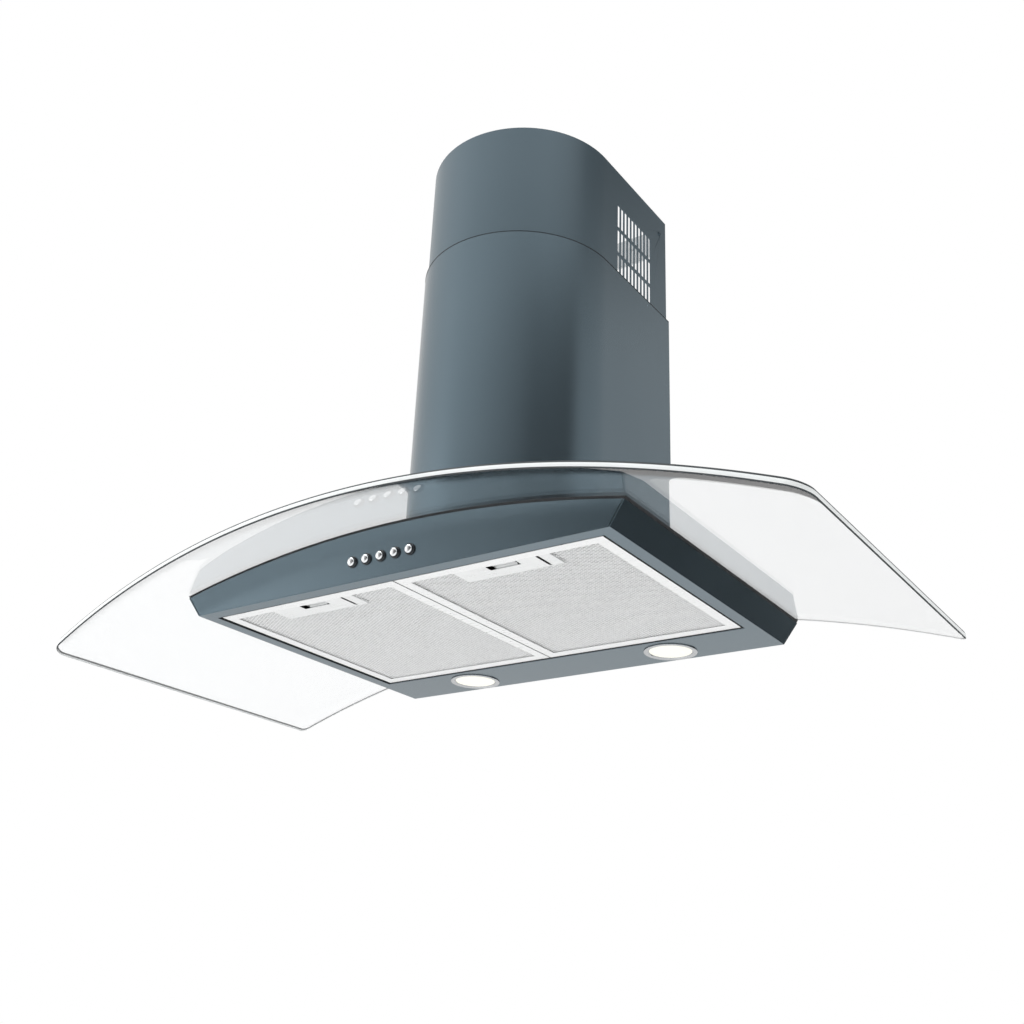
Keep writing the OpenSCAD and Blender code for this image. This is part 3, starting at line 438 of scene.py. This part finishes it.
def crumpled_sheet(x0, x1, y0, y1, z0, z1, skip):
    """Vertices and faces of the folded mesh inside the cassette: a closed, pleated slab."""
    step = 2.2
    chance = random.Random(5)
    columns = round((x1 - x0) / step)
    rows = round((y1 - y0) / step)
    vertices = []
    for side in (0, 1):
        for j in range(rows + 1):
            for i in range(columns + 1):
                depth = 0.9 * chance.random()
                vertices.append(Vector((
                    x0 + (x1 - x0) * i / columns, y0 + (y1 - y0) * j / rows,
                    z0 + depth if side == 0 else z1 - depth)) * MM)
    layer = (rows + 1) * (columns + 1)

    def at(side, i, j):
        return side * layer + j * (columns + 1) + i

    def kept(i, j):
        if not (0 <= i < columns and 0 <= j < rows):
            return False
        x = x0 + (x1 - x0) * (i + 0.5) / columns
        y = y0 + (y1 - y0) * (j + 0.5) / rows
        return not (skip[0] < x < skip[1] and skip[2] < y < skip[3])

    faces = []
    for j in range(rows):
        for i in range(columns):
            if not kept(i, j):
                continue
            faces.append((at(0, i, j), at(0, i, j + 1), at(0, i + 1, j + 1), at(0, i + 1, j)))
            faces.append((at(1, i, j), at(1, i + 1, j), at(1, i + 1, j + 1), at(1, i, j + 1)))
            for di, dj, a, b in (
                    (-1, 0, (i, j), (i, j + 1)), (1, 0, (i + 1, j + 1), (i + 1, j)),
                    (0, -1, (i + 1, j), (i, j)), (0, 1, (i, j + 1), (i + 1, j + 1))):
                if not kept(i + di, j + dj):
                    faces.append((at(0, *a), at(1, *a), at(1, *b), at(0, *b)))
    return vertices, faces


def fill_filter(side):
    """The mesh pack of one cassette: expanded metal below and above, crumpled mesh between."""
    node = f"filter_{side}_mesh"
    body = f"filter_{side}"
    low, high = (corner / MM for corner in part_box(node))
    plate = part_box(f"filter_{side}_handle")
    handle_low, handle_high = (corner / MM for corner in plate)
    inset = 0.5
    skip = (handle_low.x - 0.1, handle_high.x + 0.1, low.y - 5, handle_high.y + 0.1)
    area = (low.x + inset, high.x - inset, low.y + inset, high.y - inset)
    face = expanded_metal(*area, low.z + 0.5, skip)
    back = expanded_metal(*area, high.z - 0.5, skip)
    lower = new_piece(f"{node}_face", *face, STRANDS, body, "filter_mesh")
    upper = new_piece(f"{node}_back", *back, STRANDS, body, "filter_mesh")
    pack = new_piece(
        f"{node}_pack", *crumpled_sheet(*area, low.z + 1.1, high.z - 1.1, skip),
        PACK, body, "filter_mesh")
    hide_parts(node)
    return lower, upper, pack


for side in ("left", "right"):
    fill_filter(side)


def glass_outline(half, depth, inset, bow=40, front_r=22, rear_r=8, columns=56, corner_steps=16):
    """Columns across half the pane, as (x, front y, rear y) in millimetres from the middle out.
    The front edge is an arc that bows out, with a round corner at its end. The whole outline is
    set in by inset."""
    bow_r = (half ** 2 + bow ** 2) / (2 * bow)
    bow_y = bow_r - depth
    half -= inset
    bow_r -= inset
    front_r -= inset
    rear_r -= inset
    corner_x = half - front_r
    corner_y = bow_y - math.sqrt((bow_r - front_r) ** 2 - corner_x ** 2)
    joint = math.atan2(bow_y - corner_y, corner_x)
    joint_x = corner_x + front_r * math.cos(joint)

    def rear(x):
        past = max(0.0, x - (half - rear_r))
        return -inset - rear_r + math.sqrt(max(0.0, rear_r ** 2 - past ** 2))

    found = []
    for i in range(columns):
        x = joint_x * i / columns
        found.append((x, bow_y - math.sqrt(bow_r ** 2 - x ** 2), rear(x)))
    for i in range(corner_steps + 1):
        a = joint * (1 - i / corner_steps)
        x = corner_x + front_r * math.cos(a)
        found.append((x, corner_y - front_r * math.sin(a), rear(x)))
    return found


def make_glass(thick=7, rows=18, arris=1.2):
    """The pane: an arched sheet with a polished edge between two ground arrises, the upper one
    wider, and holes for the blower and its bolts. The edge band carries a painted highlight
    and the arrises a painted shade."""
    low, high = (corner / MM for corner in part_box("glass_canopy"))
    crown = high.z - thick
    drop = crown - low.z
    radius = (high.x ** 2 + drop ** 2) / (2 * drop)
    vertices = []

    def columns(inset):
        right = glass_outline(high.x, -low.y, inset)
        return [(-x, front, rear) for x, front, rear in reversed(right[1:])] + right

    def point(column, j, lift):
        x, front, rear = column
        z = crown - radius + math.sqrt((radius + lift) ** 2 - x * x)
        return Vector((x, front + (rear - front) * j / rows, z)) * MM

    inner = columns(arris)
    for lift in (0, thick):
        for column in inner:
            vertices.extend(point(column, j, lift) for j in range(rows + 1))
    last = len(inner) - 1
    layer = (last + 1) * (rows + 1)

    def at(side, i, j):
        return side * layer + i * (rows + 1) + j

    faces = []
    for i in range(last):
        for j in range(rows):
            faces.append((at(0, i, j), at(0, i, j + 1), at(0, i + 1, j + 1), at(0, i + 1, j)))
            faces.append((at(1, i, j), at(1, i + 1, j), at(1, i + 1, j + 1), at(1, i, j + 1)))
    loop = [(i, 0) for i in range(last)] + [(last, j) for j in range(rows)]
    loop += [(i, rows) for i in range(last, 0, -1)] + [(0, j) for j in range(rows, 0, -1)]
    outer = columns(0)
    rings = [[at(0, i, j) for i, j in loop]]
    for lift in (arris, thick - 1.7 * arris):
        rings.append(list(range(len(vertices), len(vertices) + len(loop))))
        vertices.extend(point(outer[i], j, lift) for i, j in loop)
    rings.append([at(1, i, j) for i, j in loop])
    edge_slot = 1
    arris_slot = 2
    slot_of = {}
    for slot, below, above in zip((arris_slot, edge_slot, arris_slot), rings, rings[1:]):
        for k in range(len(loop)):
            n = (k + 1) % len(loop)
            slot_of[len(faces)] = slot
            faces.append((below[k], below[n], above[n], above[k]))
    pane = new_piece("glass_pane", vertices, faces, GLASS, "hood", "glass")
    for material in (GLASS_EDGE_HIGHLIGHT, GLASS_ARRIS_SHADE):
        pane.data.materials.append(material)
    for n, face in enumerate(pane.data.polygons):
        face.use_smooth = True
        face.material_index = slot_of.get(n, 0)
    drill(pane, glass_holes())
    smooth = pane.modifiers.new("even_shading", "WEIGHTED_NORMAL")
    smooth.weight = 80
    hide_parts("glass_canopy")


def glass_holes(wall=22, sleeve_r=5):
    """The holes as (x, y, radius) in metres: the blower's intake and one for each bolt's sleeve."""
    low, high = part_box("casing_wrap")
    middle = (low.y + high.y) / 2
    found = [(0, middle, (high.y - low.y) / 2 - wall * MM)]
    low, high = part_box("glass_sleeves")
    for x in (low.x + sleeve_r * MM, high.x - sleeve_r * MM):
        for y in (low.y + sleeve_r * MM, high.y - sleeve_r * MM):
            found.append((x, y, (sleeve_r + 0.2) * MM))
    return found


def drill(piece, holes):
    """Cuts upright round holes right through the piece and keeps the result as its mesh."""
    cutter = bmesh.new()
    for x, y, radius in holes:
        bmesh.ops.create_cone(
            cutter, cap_ends=True, segments=96, radius1=radius, radius2=radius, depth=0.4,
            matrix=Matrix.Translation((x, y, UNDER)))
    mesh = bpy.data.meshes.new("drill")
    cutter.to_mesh(mesh)
    cutter.free()
    tool = bpy.data.objects.new("drill", mesh)
    bpy.context.scene.collection.objects.link(tool)
    cut = piece.modifiers.new("holes", "BOOLEAN")
    cut.operation = "DIFFERENCE"
    cut.solver = "EXACT"
    cut.object = tool
    bpy.context.view_layer.update()
    done = piece.evaluated_get(bpy.context.evaluated_depsgraph_get())
    made = bpy.data.meshes.new_from_object(done)
    piece.modifiers.clear()
    piece.data = made
    bpy.data.objects.remove(tool)


make_glass()


def make_seam_shade():
    """A painted shade: a near-black strip that stands in for the dark gap where the upper chimney
    slides into the lower one.
    """
    low, high = (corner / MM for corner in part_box("lower_chimney"))
    radius = high.x
    middle = low.y + radius
    rear = -1.0
    steps = 64
    path = [(radius, rear), (radius, middle)]
    path += [(radius * math.cos(a), middle - radius * math.sin(a))
             for a in (math.pi * k / steps for k in range(1, steps))]
    path += [(-radius, middle), (-radius, rear)]
    # The strip's section, as (outwards from the chimney's face, up from its top edge).
    section = ((-0.6, 0), (0.25, -0.9), (0.25, -0.1), (-0.6, 0.25))
    vertices = []
    faces = []
    for k, (x, y) in enumerate(path):
        outward = Vector((x, min(0.0, y - middle), 0)).normalized()
        for out, up in section:
            vertices.append((Vector((x, y, high.z + up)) + outward * out) * MM)
        if k:
            first = 4 * (k - 1)
            faces.extend(
                (first + c, first + (c + 1) % 4, first + 4 + (c + 1) % 4, first + 4 + c)
                for c in range(4))
    faces.append((3, 2, 1, 0))
    faces.append(tuple(4 * (len(path) - 1) + c for c in range(4)))
    seam = new_piece("chimney_seam_shade", vertices, faces, PAINTED_SHADE, "hood", "painted_steel")
    for face in seam.data.polygons:
        face.use_smooth = False


make_seam_shade()


# ---- stage and light ----

def make_floor():
    below = 1.6
    reach = 40
    level = UNDER - below
    mesh = bpy.data.meshes.new("floor")
    mesh.from_pydata(
        [(x * reach, y * reach, level) for x, y in ((-1, -1), (1, -1), (1, 1), (-1, 1))],
        [], [(0, 1, 2, 3)])
    mesh.materials.append(floor_paint())
    floor = bpy.data.objects.new("floor", mesh)
    bpy.context.scene.collection.objects.link(floor)


# Brightness of the studio as the metal sees it, by azimuth in degrees: 0 is -Y and 90 is +X.
STUDIO = (
    (-180, 0.72), (-110, 0.95), (-52, 1.08), (-13, 0.86), (32, 0.42), (52, 0.18),
    (94, 0.18), (108, 0.66), (145, 0.74), (180, 0.72))
STUDIO_LOW = (
    (-180, 0.7), (-110, 1.2), (-56, 1.9), (-44, 1.3), (-32, 0.30), (-22, 0.06), (32, 0.08),
    (55, 0.12), (94, 0.14), (108, 0.66), (145, 0.7), (180, 0.7))
STUDIO_HIGH = (
    (-180, 0.7), (-110, 1.0), (-52, 1.06), (-13, 1.02), (32, 1.05), (60, 1.3), (95, 1.1),
    (112, 0.22), (150, 0.04), (172, 0.4), (180, 0.7))


def make_flag():
    """A near-black card beside the hood that only shiny surfaces see."""
    wide = 0.9
    tall = 0.55
    card = bpy.data.meshes.new("flag")
    card.from_pydata(
        [(-wide, 0, -tall), (wide, 0, -tall), (wide, 0, tall), (-wide, 0, tall)],
        [], [(0, 1, 2, 3)])
    material, t = new_material("flag_card")
    t.surface(Base_Color=(0.02, 0.02, 0.02, 1), Roughness=0.9)
    card.materials.append(material)
    flag = bpy.data.objects.new("flag", card)
    flag.location = (1.65, 1.65, UNDER - 0.92)
    flag.rotation_euler = (0, 0, math.radians(-35))
    flag.visible_camera = False
    flag.visible_diffuse = False
    flag.visible_transmission = False
    flag.visible_shadow = False
    bpy.context.scene.collection.objects.link(flag)


def make_world():
    """A white studio for the camera and through glass. Metal sees the rings above instead: the
    low one below the first blend, the high one above the second."""
    world = bpy.data.worlds.new("studio")
    bpy.context.scene.world = world
    t = Tree(world)
    way = t.add("ShaderNodeTexCoord").outputs["Generated"]
    parts = t.add("ShaderNodeSeparateXYZ", {0: way}).outputs
    forward = t.add("ShaderNodeMath", {0: parts["Y"], 1: -1.0}, operation="MULTIPLY").outputs[0]
    azimuth = t.add("ShaderNodeMath", {0: parts["X"], 1: forward}, operation="ARCTAN2").outputs[0]
    turn = t.span(azimuth, 0, 1, -math.pi, math.pi)

    def ring(stops):
        ramp = t.add("ShaderNodeValToRGB", {"Fac": turn})
        marks = ramp.color_ramp.elements
        while len(marks) < len(stops):
            marks.new(0.5)
        for mark, (degrees, value) in zip(marks, stops):
            mark.position = (degrees + 180) / 360
            mark.color = (value, value, value, 1)
        return ramp.outputs["Color"]

    def blend(share, a, b):
        mix = t.add("ShaderNodeMix", {0: share}, data_type="FLOAT")
        t.give(mix.inputs[2], a)
        t.give(mix.inputs[3], b)
        return mix.outputs[0]

    light = blend(t.span(parts["Z"], 0, 1, 0.28, 0.42), ring(STUDIO_LOW), ring(STUDIO))
    light = blend(t.span(parts["Z"], 0, 1, 0.53, 0.63), light, ring(STUDIO_HIGH))
    path = t.add("ShaderNodeLightPath")
    seen = t.add("ShaderNodeMath", {
        0: path.outputs["Is Camera Ray"], 1: path.outputs["Is Transmission Ray"]},
        operation="MAXIMUM").outputs[0]
    sky = t.add("ShaderNodeBackground", {
        "Color": (1, 1, 1, 1), "Strength": blend(seen, light, 1.0)})
    out = t.add("ShaderNodeOutputWorld")
    t.tree.links.new(sky.outputs[0], out.inputs["Surface"])


def soft_light(name, place, target, size, power):
    data = bpy.data.lights.new(name, "AREA")
    data.shape = "RECTANGLE"
    data.size, data.size_y = size
    data.energy = power
    light = bpy.data.objects.new(name, data)
    light.location = place
    light.rotation_mode = "QUATERNION"
    light.rotation_quaternion = (Vector(target) - Vector(place)).to_track_quat("-Z", "Y")
    light.visible_camera = False
    light.visible_glossy = False
    bpy.context.scene.collection.objects.link(light)


make_floor()
make_flag()
make_world()
soft_light("overhead", (-1.2, -1.0, 2.6), (0, -0.3, -1.5), (2.6, 2.6), 110)
bpy.context.scene.view_settings.view_transform = "Standard"
